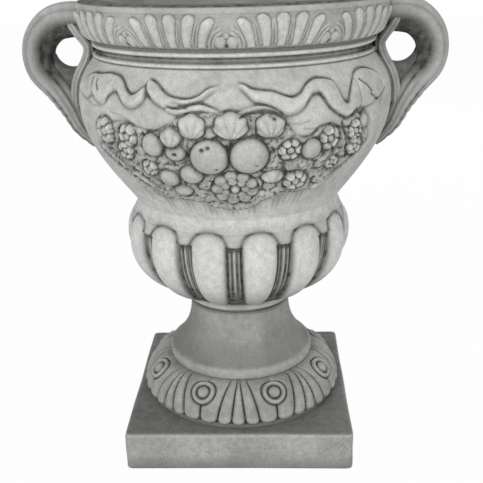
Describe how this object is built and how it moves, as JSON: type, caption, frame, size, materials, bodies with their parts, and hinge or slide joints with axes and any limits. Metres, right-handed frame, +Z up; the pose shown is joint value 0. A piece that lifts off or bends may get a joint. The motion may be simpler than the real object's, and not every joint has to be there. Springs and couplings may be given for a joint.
{
  "type": "garden urn planter",
  "caption": "Footed concrete garden urn on a square plinth, with gadrooned cup, fruit garland, leaf frieze, two loop handles and a drained planting hollow.",
  "frame": {"origin": "centre of the plinth's underside, on the ground", "axes": "+Z up along the urn's axis; the front with the garland faces -Y; the two handles lie along X"},
  "size_m": [0.4488, 0.343, 0.494],
  "materials": {
    "slab_concrete": "cast concrete, weathered darker",
    "foot_concrete": "cast concrete, antiqued",
    "bowl_concrete": "cast concrete, antiqued",
    "rim_concrete": "cast concrete, antiqued",
    "handle_concrete": "cast concrete, antiqued",
    "mortar": "rough struck mortar",
    "reinforcing_steel": "rolled steel",
    "drain_plastic": "extruded pipe"
  },
  "bodies": {
    "root": {"plinth": "slab_concrete", "plinth_mesh": "reinforcing_steel", "plinth_bed": "mortar", "plinth_dowels": "reinforcing_steel", "foot": "foot_concrete", "foot_hoop": "reinforcing_steel", "bowl_bed": "mortar", "bowl_dowels": "reinforcing_steel", "bowl": "bowl_concrete", "rim_bed": "mortar", "rim_dowels": "reinforcing_steel", "rim": "rim_concrete", "rim_hoop": "reinforcing_steel", "handle_left": "handle_concrete", "handle_left_rod": "reinforcing_steel", "handle_left_pads": "mortar", "handle_right": "handle_concrete", "handle_right_rod": "reinforcing_steel", "handle_right_pads": "mortar", "drain_sleeve": "drain_plastic"}
  },
  "joints": []
}
